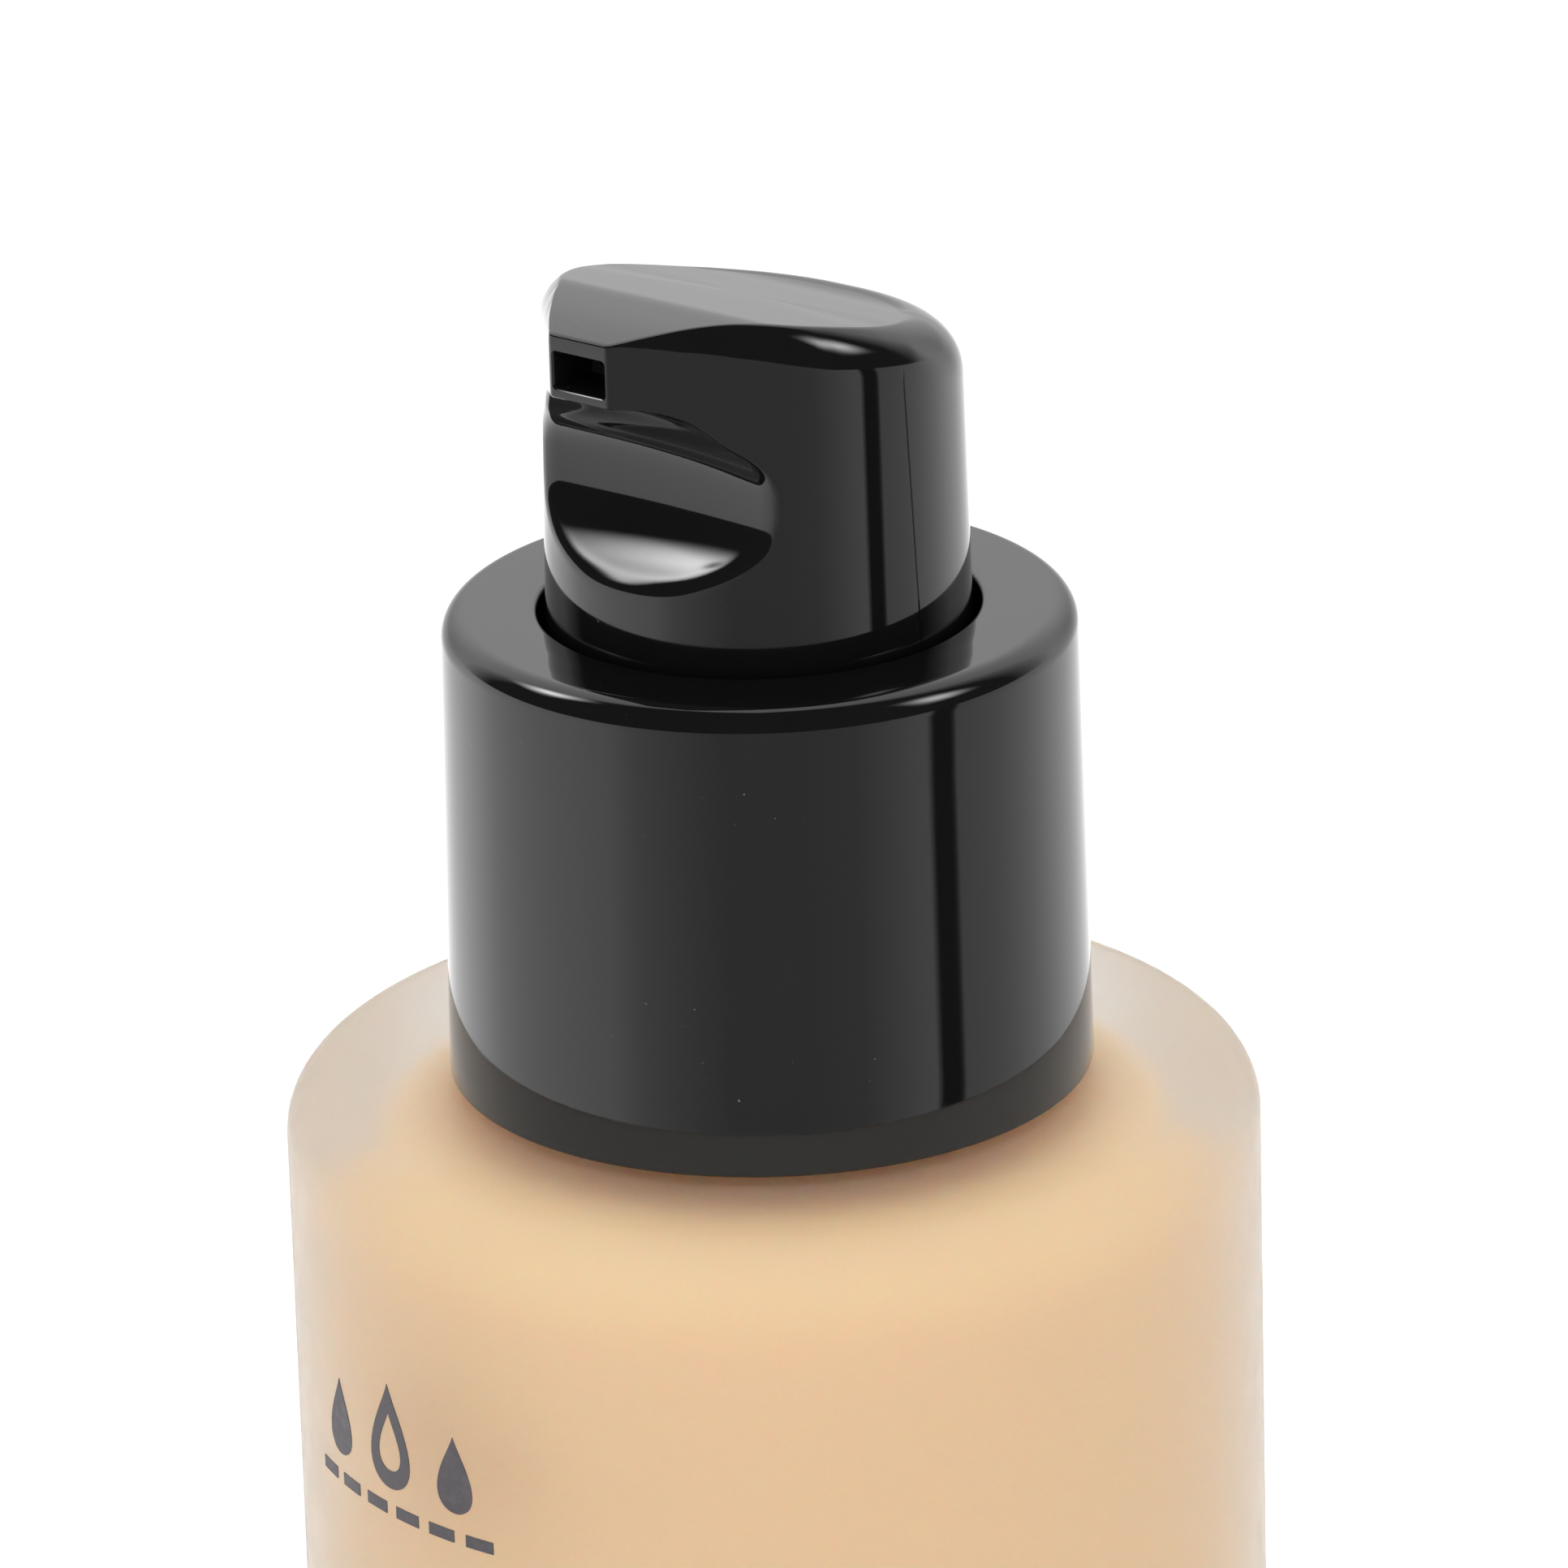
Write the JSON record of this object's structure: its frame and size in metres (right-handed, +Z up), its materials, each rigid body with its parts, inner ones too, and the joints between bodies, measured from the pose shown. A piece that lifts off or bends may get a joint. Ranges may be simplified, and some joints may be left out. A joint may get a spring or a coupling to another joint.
{
  "type": "foundation bottle",
  "caption": "Round frosted glass foundation bottle with a gloss black screw-on treatment pump: collar overshell and a beaked push actuator with a scooped front.",
  "frame": {"origin": "centre of the bottle's base, on the surface it stands on", "axes": "+Z up along the bottle's axis; the pump's nozzle points to -Y at rest; +X is to the right as the nozzle is faced"},
  "size_m": [0.038, 0.038, 0.0909],
  "materials": {
    "frosted_glass": "acid-etched, frosted",
    "foundation_liquid": "opaque beige liquid",
    "gloss_black": "polished injection moulding",
    "black_polypropylene": "moulded",
    "natural_polypropylene": "moulded, translucent white",
    "piston_polyethylene": "soft, waxy",
    "gasket_foam": "closed-cell foam",
    "stainless_steel": "drawn wire and polished ball"
  },
  "bodies": {
    "root": {"bottle": "frosted_glass", "foundation_fill": "foundation_liquid"},
    "pump_engine": {"pump_housing": "natural_polypropylene", "neck_gasket": "gasket_foam", "retaining_turret": "natural_polypropylene", "dip_tube": "piston_polyethylene", "return_spring": "stainless_steel"},
    "closure_set": {"screw_closure": "black_polypropylene", "overshell": "gloss_black"},
    "ball": {"inlet_ball": "stainless_steel"},
    "piston_body": {"piston": "piston_polyethylene"},
    "stem_body": {"stem": "natural_polypropylene", "valve_plug": "natural_polypropylene"},
    "actuator": {"actuator_shell": "gloss_black", "nozzle_core": "black_polypropylene"}
  },
  "joints": [
    {"name": "pump_lift", "type": "slide", "parent": "root", "child": "pump_engine", "axis": [0, 0, 1], "range_m": [0, 0.00477]},
    {"name": "closure_unscrew", "type": "hinge", "parent": "pump_engine", "child": "closure_set", "pos_m": [0, 0, 0.0706], "axis": [0, 0, 1], "range_deg": [0, 540]},
    {"name": "inlet_ball_lift", "type": "slide", "parent": "pump_engine", "child": "ball", "axis": [0, 0, 1], "range_m": [0, 0.0008]},
    {"name": "piston_stroke", "type": "slide", "parent": "pump_engine", "child": "piston_body", "axis": [0, 0, 1], "range_m": [-0.0035, 0], "stiffness_N_per_m": 1500, "deforming": ["return_spring"]},
    {"name": "stem_lost_motion", "type": "slide", "parent": "piston_body", "child": "stem_body", "axis": [0, 0, 1], "range_m": [-0.0007, 0], "stiffness_N_per_m": 1500},
    {"name": "actuator_turn", "type": "hinge", "parent": "stem_body", "child": "actuator", "pos_m": [0, 0, 0.0832], "axis": [0, 0, 1], "continuous": true}
  ],
  "couplings": [
    {"joint": "pump_lift", "follows": "closure_unscrew", "m_per_rad": 0.00050532}
  ]
}
